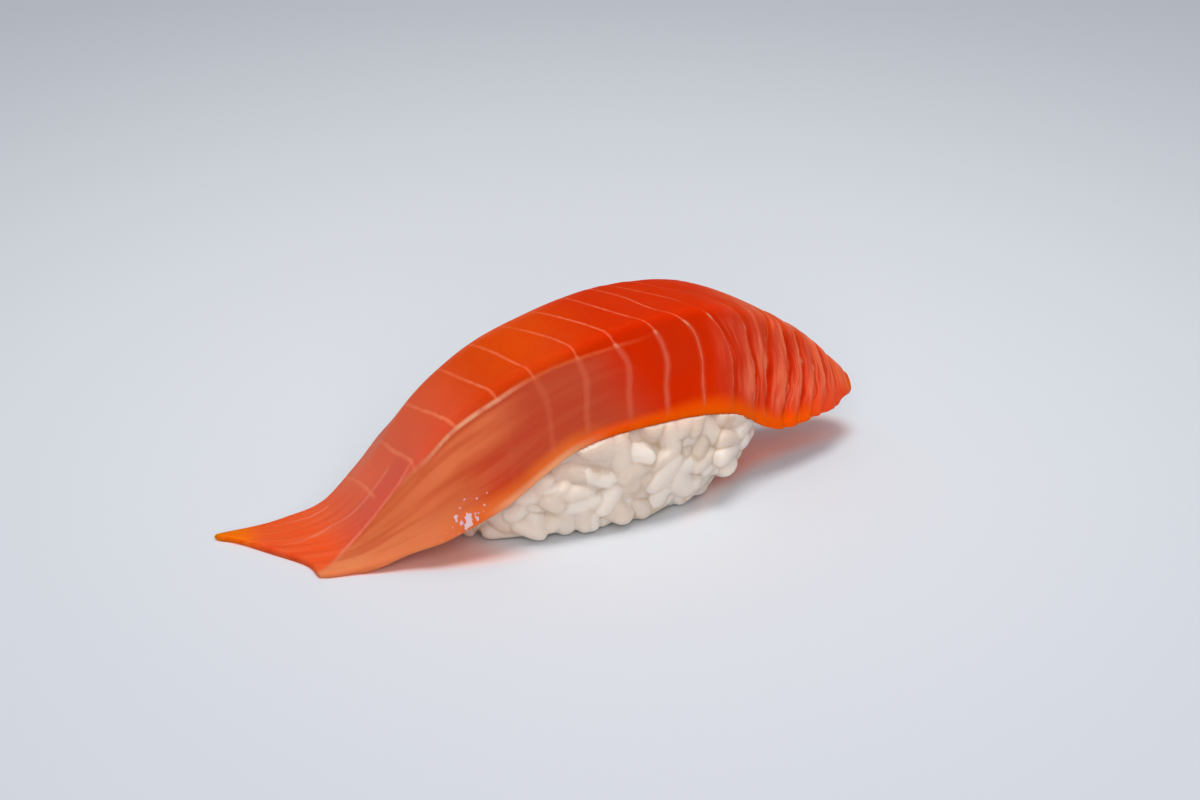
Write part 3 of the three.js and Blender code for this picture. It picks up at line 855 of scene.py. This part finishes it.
def salmon_material():
    n = Nodes("raw_salmon")
    line_mm = distance_from_flake_line(n)
    broken = n.ramp(n.noise(n.position(), 420, 2.0), 0.25, 0.6, 0.45, 1.0)
    streaks = n.streaks(n.attribute("along"), 0.06, n.attribute("across"), 11.0, 1.2)
    cloud = n.noise(n.position(), 90, 2.0)
    specks = pale_specks(n)

    colour = n.layers(n.attribute("flesh", "Color"), (STREAK_DARK, n.ramp(cloud, 0.4, 0.7), 0.18))
    colour = with_muscle_streaks(n, colour, streaks)
    colour = with_pleats(n, colour)
    colour = with_flake_lines(n, colour, line_mm, broken)
    colour = with_fold_highlight(n, colour, line_mm, broken)
    colour = with_tail_lines(n, colour, broken)
    colour = n.layers(colour, (SPECK_WHITE, specks, 0.85))

    n.surface(
        Base_Color=colour,
        Roughness=n.ramp(cloud, 0.3, 0.7, 0.42, 0.55),
        Normal=flesh_relief(n, streaks, specks),
    )
    n.surface(
        IOR=1.36,
        Subsurface_Weight=1.0,
        Subsurface_Radius=(1.0, 0.4, 0.2),
        Subsurface_Scale=0.0018,
        Specular_IOR_Level=0.06,
        Specular_Tint=(1, 0.5, 0.3, 1),
    )
    return n.material


def make_salmon():
    rings, values = with_round_ends(*slice_rings())
    rows, size = rings.shape[:2]
    item = mesh_object(
        "salmon_slice",
        rings.reshape(-1, 3),
        ring_faces(rows, size, clockwise=True),
        slice_numbers(values),
        {"flesh": flesh_colours(values)},
    )
    weld(item, 0.004)
    item.data.materials.append(salmon_material())
    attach(item, "root")
    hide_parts("salmon")
    return item


# ---- The rice: driving dimensions, as in the CAD ----

RICE_HALF_LENGTH = 24.0
RICE_HALF_WIDTH = 11.9
RICE_FOOT_X = -3.4  # middle of its underside
RICE_LEAN = 0.40  # how far its middle moves towards the thick end for each millimetre up
RICE_HEIGHT = 27
RICE_SQUARENESS = 2.4
# z, the plan's size there as a share of the largest.
RICE_SIDE = np.array([[0, 0.86], [3.5, 0.93], [8, 1.0], [15, 0.95], [22, 0.76], [27, 0.45]])
CORE_INSET = 0.7
CORE_FOOT_INSET = 1.0  # more than that at the floor
GRAIN_LENGTH = 6.8
GRAIN_WIDTH = 3.6
GRAIN_FLATNESS = 0.75
GRAIN_BLUNTNESS = 2.8  # exponent of its outline, 2 for an ellipse
GRAIN_DEPTH = 0.95  # of a grain's axis under the rice's face
GRAIN_DEPTH_SWING = 0.6
GRAIN_STEP = 4.5
GRAIN_ROWS = 9
LOWEST_ROW_Z = 1.7
HIGHEST_ROW_Z = 20.0
# The most that a grain strays: along its row, up, and in radians in its heading and out of the face.
GRAIN_STRAY_ALONG = 1.2
GRAIN_STRAY_UP = 0.9
GRAIN_TURN = 1.35
GRAIN_TILT = 0.25
GRAIN_BEND = 0.35
GRAIN_TAPER = 0.10  # of its thickness, from its middle to an end
GRAIN_FLOOR_GAP = 0.35  # under the lowest grains
GRAIN_RINGS = 11
GRAIN_SIDES = 12
GRAIN_SEED = 11
RICE_VOXEL = 0.26
RICE_SOFTENING = 5  # rounds
PRESS_GAP = 0.12  # between the rice and the slice's underside
PRESS_ASIDE = 0.4  # how far aside of the slice a point may lie and still be pressed
SLICE_REACH = 9.0  # up to which the distance from the slice is measured


def rice_face(angle, z, inset):
    """A point of the block's side at an angle and a height, moved in by an inset."""
    share = float(through(RICE_SIDE[:, 0], list(RICE_SIDE[:, 1]), z))
    power = 2 / RICE_SQUARENESS
    bow = [math.copysign(abs(v) ** power, v) for v in (math.cos(angle), math.sin(angle))]
    return np.array([
        RICE_FOOT_X + RICE_LEAN * z + (share * RICE_HALF_LENGTH - inset) * bow[0],
        (share * RICE_HALF_WIDTH - inset) * bow[1],
        z,
    ])


def even_angles(z, phase):
    """Angles that split the block's outline at a height into even steps."""
    turns = np.linspace(0, 2 * math.pi, 241)
    points = np.array([rice_face(a, z, 0) for a in turns])
    lengths = np.concatenate([[0], np.cumsum(np.linalg.norm(np.diff(points, axis=0), axis=1))])
    count = round(lengths[-1] / GRAIN_STEP)
    return np.interp((np.arange(count) + phase) / count * lengths[-1], lengths, turns)


def rounded_power(value, power):
    return np.sign(value) * np.abs(value) ** power


def grain_points(draw):
    """Points and half sizes of one plump grain along X round the origin, blunt at its ends, a little bent."""
    latitude = np.linspace(-math.pi / 2, math.pi / 2, GRAIN_RINGS + 2)[1:-1]
    longitude = np.linspace(0, 2 * math.pi, GRAIN_SIDES, endpoint=False)
    lat, lon = np.meshgrid(latitude, longitude, indexing="ij")
    blunt = 2 / GRAIN_BLUNTNESS
    x = rounded_power(np.sin(lat), blunt)
    ring = rounded_power(np.cos(lat), blunt)
    points = np.stack([x, ring * np.cos(lon), ring * np.sin(lon)], -1).reshape(-1, 3)
    points = np.concatenate([[[-1, 0, 0]], points, [[1, 0, 0]]])
    size = 1 + draw.uniform(-0.22, 0.16)
    slim = draw.uniform(0.92, 1.1)
    half = np.array([GRAIN_LENGTH, GRAIN_WIDTH * slim, GRAIN_WIDTH * slim * GRAIN_FLATNESS]) * size / 2
    points *= half
    taper = 1 - GRAIN_TAPER * points[:, :1] / (GRAIN_LENGTH / 2)
    points[:, 1:] *= taper
    bend = draw.uniform(-GRAIN_BEND, GRAIN_BEND)
    points[:, 1] += bend * (points[:, 0] / (GRAIN_LENGTH / 2)) ** 2
    return points, half


def grain_faces():
    """Faces of one grain: rings of quads, and a fan at each end."""
    faces = ring_faces(GRAIN_RINGS, GRAIN_SIDES, first=1)
    last = 1 + GRAIN_RINGS * GRAIN_SIDES
    for s in range(GRAIN_SIDES):
        after = (s + 1) % GRAIN_SIDES
        faces.append([0, 1 + after, 1 + s])
        faces.append([last, last - GRAIN_SIDES + s, last - GRAIN_SIDES + after])
    return faces


def laid_grains():
    """Placed grains all round the block: for each its points, centre, axes and half sizes."""
    draw = np.random.default_rng(GRAIN_SEED)
    grains = []
    for row in range(GRAIN_ROWS):
        z = mixed(LOWEST_ROW_Z, HIGHEST_ROW_Z, row / (GRAIN_ROWS - 1))
        for angle in even_angles(z, (row % 2) / 2 + draw.uniform(-0.1, 0.1)):
            grains.append(laid_grain(angle, z, draw))
    return grains


def laid_grain(angle, z, draw):
    """One grain laid in the block's face: its points, centre, axes and half sizes."""
    ahead = unit(rice_face(angle + 0.02, z, 0) - rice_face(angle - 0.02, z, 0))
    above = unit(rice_face(angle, z + 0.2, 0) - rice_face(angle, z - 0.2, 0))
    outside = unit(np.cross(ahead, above))
    centre = rice_face(angle, z, GRAIN_DEPTH + draw.uniform(-1, 1) * GRAIN_DEPTH_SWING)
    centre = centre + ahead * draw.uniform(-GRAIN_STRAY_ALONG, GRAIN_STRAY_ALONG)
    centre = centre + above * draw.uniform(-GRAIN_STRAY_UP, GRAIN_STRAY_UP)
    turn = draw.uniform(-GRAIN_TURN, GRAIN_TURN)
    tilt = draw.uniform(-GRAIN_TILT, GRAIN_TILT)
    along = unit(ahead * math.cos(turn) + above * math.sin(turn))
    sideways = np.cross(outside, along)
    tilted = along * math.cos(tilt) + outside * math.sin(tilt)
    axes = np.stack([tilted, sideways, np.cross(tilted, sideways)])
    points, half = grain_points(draw)
    points = points @ axes + centre
    lift = max(GRAIN_FLOOR_GAP - points[:, 2].min(), 0)
    points[:, 2] += lift
    centre = centre + np.array([0, 0, lift])
    return points, centre, axes, half


def core_mesh_data():
    """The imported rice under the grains: stacked ovals, closed underneath and on top."""
    levels, sides = 14, 64
    points = []
    for z in np.linspace(0.3, RICE_HEIGHT - 1, levels):
        inset = CORE_INSET + CORE_FOOT_INSET * smooth(4, 0, z)
        points += [rice_face(2 * math.pi * i / sides, z, inset) for i in range(sides)]
    bottom = list(range(sides))[::-1]
    top = list(range((levels - 1) * sides, levels * sides))
    return np.array(points), [bottom, top, *ring_faces(levels, sides)]


def apply_modifiers(item):
    """Turns an item's modifiers into its mesh."""
    bpy.context.view_layer.update()
    graph = bpy.context.evaluated_depsgraph_get()
    mesh = bpy.data.meshes.new_from_object(item.evaluated_get(graph))
    item.modifiers.clear()
    item.data = mesh


def press_under_slice(points, slice_item):
    """Points moved out of the slice's underside, and how far in mm each lies from the slice."""
    mesh = slice_item.data
    verts = [v.co / MM for v in mesh.vertices]
    under = np.zeros(len(mesh.vertices), np.float32)
    mesh.attributes["underside"].data.foreach_get("value", under)
    faces = [tuple(p.vertices) for p in mesh.polygons if all(under[i] > 0.5 for i in p.vertices)]
    tree = BVHTree.FromPolygons(verts, faces)
    pressed = np.array(points)
    from_slice = np.full(len(points), SLICE_REACH)
    for i, point in enumerate(points):
        found, normal, _, gap = tree.find_nearest(Vector(point), SLICE_REACH)
        if found is None:
            continue
        from_slice[i] = gap
        into_rice = Vector(normal)
        offset = Vector(point) - found
        depth = offset.dot(into_rice)
        aside = (offset - into_rice * depth).length
        if aside < PRESS_ASIDE and depth < PRESS_GAP:
            pressed[i] = Vector(point) + into_rice * (PRESS_GAP - depth)
    return pressed, from_slice


def fused_rice(grains):
    """The core and its grains as one mesh with a single skin."""
    points, faces = core_mesh_data()
    for grain, *_ in grains:
        faces += [[len(points) + i for i in face] for face in grain_faces()]
        points = np.concatenate([points, grain])
    item = mesh_object("rice_grains", points, faces, {})
    remesh = item.modifiers.new("fuse", "REMESH")
    remesh.mode = "VOXEL"
    remesh.voxel_size = RICE_VOXEL * MM
    soften = item.modifiers.new("soften", "SMOOTH")
    soften.iterations = RICE_SOFTENING
    soften.factor = 0.5
    apply_modifiers(item)
    return item


def make_rice(slice_item):
    grains = laid_grains()
    item = fused_rice(grains)
    mesh = item.data
    flat = np.zeros(len(mesh.vertices) * 3)
    mesh.vertices.foreach_get("co", flat)
    skin = flat.reshape(-1, 3) / MM
    nearest, second, owner = grain_distances(skin, grains)
    skin, from_slice = press_under_slice(skin, slice_item)
    skin[:, 2] = np.maximum(skin[:, 2], 0)
    mesh.vertices.foreach_set("co", (skin * MM).ravel())
    draw = np.random.default_rng(GRAIN_SEED + 1)
    tones = draw.uniform(0, 1, len(grains))[owner]
    set_numbers(
        mesh,
        {"grain_tone": tones, "seam": second - nearest, "hollow": nearest, "from_slice": from_slice},
    )
    shade_smooth(mesh)
    mesh.materials.append(rice_material())
    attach(item, "root")
    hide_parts("rice")


def grain_distances(points, grains):
    """For each point how far it lies outside the nearest and the next grain, in mm, and which is nearest."""
    nearest = np.full(len(points), 99.0)
    second = np.full(len(points), 99.0)
    owner = np.zeros(len(points), int)
    for k, (_, centre, axes, half) in enumerate(grains):
        close = np.where(np.abs(points - centre).max(axis=1) < GRAIN_LENGTH)[0]
        local = np.abs((points[close] - centre) @ axes.T) / half
        round_it = np.hypot(local[:, 1], local[:, 2])
        power = GRAIN_BLUNTNESS
        reach = ((local[:, 0] ** power + round_it**power) ** (1 / power) - 1) * half[1]
        is_nearer = reach < nearest[close]
        second[close] = np.where(is_nearer, nearest[close], np.minimum(second[close], reach))
        nearest[close] = np.minimum(nearest[close], reach)
        owner[close] = np.where(is_nearer, k, owner[close])
    return nearest, second, owner


RICE_WHITE = srgb(222, 202, 185)
RICE_MILKY = srgb(239, 227, 216)
# Painted shade in the seams and hollows between the grains.
RICE_GAP_SHADE = srgb(192, 160, 118)
# Painted pink light, bounced from the slice onto the rice.
RICE_BOUNCE_PINK = srgb(214, 166, 146)  # where it lies against the slice


def rice_material():
    n = Nodes("cooked_rice")
    mottle = n.noise(n.position(), 700, 2.0)
    creased = n.ramp(n.noise(n.position(), 230, 1.0), 0.4, 0.65)
    colour = n.layers(
        RICE_WHITE,
        (RICE_MILKY, n.attribute("grain_tone")),
        (RICE_MILKY, n.ramp(mottle, 0.45, 0.75), 0.3),
        # Painted shade in the seams and hollows between grains.
        (RICE_GAP_SHADE, n.ramp(n.attribute("seam"), 0.4, 0.0), creased, 0.5),
        (RICE_GAP_SHADE, n.ramp(n.attribute("hollow"), 0.05, 0.6), 0.75),
        # Painted light bounced from the slice.
        (RICE_BOUNCE_PINK, n.ramp(n.attribute("from_slice"), 4.5, 0.3), 0.45),
    )
    normal = n.bump(n.noise(n.position(), 1600, 2.0), 0.00005)
    n.surface(Base_Color=colour, Normal=normal)
    n.surface(
        Roughness=0.5,
        Subsurface_Weight=0.8,
        Subsurface_Radius=(1.0, 0.8, 0.62),
        Subsurface_Scale=0.0024,
        IOR=1.4,
        Specular_IOR_Level=0.4,
        Coat_Weight=0.25,
        Coat_Roughness=0.2,
    )
    return n.material


# ---- Stage ----

CAMERA_AZIMUTH = math.radians(-25)
CAMERA_ELEVATION = math.radians(26)
CAMERA_DISTANCE = 480
CAMERA_RAISE = 15.08
CAMERA_LENS = 93.6
FLOOR_PALE = srgb(226, 230, 235)
FLOOR_COLOUR = srgb(207, 211, 219)
FLOOR_SHADE = srgb(255, 192, 178)  # by the light that comes through the slice
SHADE_REACH = 0.03
SHADE_OPENNESS = (0.66, 0.42)  # of the floor, from no shade to full shade
SHADE_SPOT = (0.040, 0.007, 0)  # under the thick end
SHADE_SPOT_REACH = (0.009, 0.003)
SHADE_SPOT_SHARE = 0.5
SHADE_STARTS = (0.015, 0.025)  # metres from the rice's middle, where only the slice hangs over the floor
SHADE_FRONT = (0.040, -0.036, 0)  # the floor round this point has light from the front
SHADE_FRONT_REACH = (0.0355, 0.0405)
# Painted pool of light: the floor is pale round this point and darker away from it.
FLOOR_LIGHT_POOL_MIDDLE = (0.03, 0.08, 0)
FLOOR_LIGHT_POOL_FADE = (0.03, 0.22)  # metres from that point
# Lights: millimetres from the rice's middle, millimetres across, watts.
LIGHT_COLOUR = (1, 0.98, 0.96)
KEY_LIGHT = ((10, -60, 478), 200, 1.1)
FILL_LIGHT = ((-330, -780, 520), 700, 4.4)
SKY_COLOUR = srgb(228, 233, 240)
ZENITH_STRENGTH = 0.66


def make_camera():
    a, e = CAMERA_AZIMUTH, CAMERA_ELEVATION
    back = Vector((math.sin(a) * math.cos(e), -math.cos(a) * math.cos(e), math.sin(e)))
    right = Vector((math.cos(a), math.sin(a), 0))
    up = back.cross(right)
    data = bpy.data.cameras.new("camera")
    data.lens = CAMERA_LENS
    data.sensor_width = 36
    data.clip_start = 0.01
    camera = bpy.data.objects.new("camera", data)
    bpy.context.scene.collection.objects.link(camera)
    place = (back * CAMERA_DISTANCE + up * CAMERA_RAISE) * MM
    camera.matrix_world = Matrix.Translation(place) @ Matrix((right, up, back)).transposed().to_4x4()
    bpy.context.scene.camera = camera


def make_light(name, place, size, power):
    """A round area light that looks at the rice's middle."""
    data = bpy.data.lights.new(name, "AREA")
    data.shape = "DISK"
    data.size = size * MM
    data.energy = power
    data.color = LIGHT_COLOUR
    light = bpy.data.objects.new(name, data)
    bpy.context.scene.collection.objects.link(light)
    light.location = Vector(place) * MM
    light.rotation_euler = (-light.location).to_track_quat("-Z", "Y").to_euler()


def floor_material():
    """Pale, painted a little darker away from the middle as a pool of light, and painted warmer in the
    slice's shade.
    """
    n = Nodes("pale_floor")
    place = n.position()
    from_middle = n.distance(place, FLOOR_LIGHT_POOL_MIDDLE)
    from_rice = n.distance(place, (RICE_FOOT_X * MM, 0, 0))
    from_spot = n.distance(place, SHADE_SPOT)
    from_front = n.distance(place, SHADE_FRONT)
    colour = n.mix(n.ramp(from_middle, *FLOOR_LIGHT_POOL_FADE), FLOOR_PALE, FLOOR_COLOUR)
    shaded = n.product(n.ramp(n.openness(SHADE_REACH), *SHADE_OPENNESS), n.ramp(from_rice, *SHADE_STARTS))
    spot = n.product(n.ramp(from_spot, *SHADE_SPOT_REACH), SHADE_SPOT_SHARE)
    shaded = n.product(n.math("MAXIMUM", shaded, spot), n.ramp(from_front, *SHADE_FRONT_REACH))
    n.surface(Base_Color=n.mix(shaded, colour, FLOOR_SHADE), Roughness=0.6, Specular_IOR_Level=0.2)
    return n.material


def make_stage():
    bpy.ops.mesh.primitive_plane_add(size=4)
    floor = bpy.context.object
    floor.name = "floor"
    floor.data.materials.append(floor_material())
    make_light("key", *KEY_LIGHT)
    make_light("fill", *FILL_LIGHT)
    make_sky()
    bpy.context.scene.view_settings.view_transform = "Standard"


def make_sky():
    """Soft light that grows from none at the horizon to its full strength straight above."""
    world = bpy.data.worlds.new("world")
    world.use_nodes = True
    tree = world.node_tree
    place = tree.nodes.new("ShaderNodeTexCoord")
    split = tree.nodes.new("ShaderNodeSeparateXYZ")
    strength = tree.nodes.new("ShaderNodeMapRange")
    tree.links.new(place.outputs["Generated"], split.inputs[0])
    tree.links.new(split.outputs["Z"], strength.inputs["Value"])
    strength.inputs["To Max"].default_value = ZENITH_STRENGTH
    background = tree.nodes["Background"]
    background.inputs["Color"].default_value = SKY_COLOUR
    tree.links.new(strength.outputs[0], background.inputs["Strength"])
    bpy.context.scene.world = world


salmon = make_salmon()
make_rice(salmon)
make_stage()
make_camera()
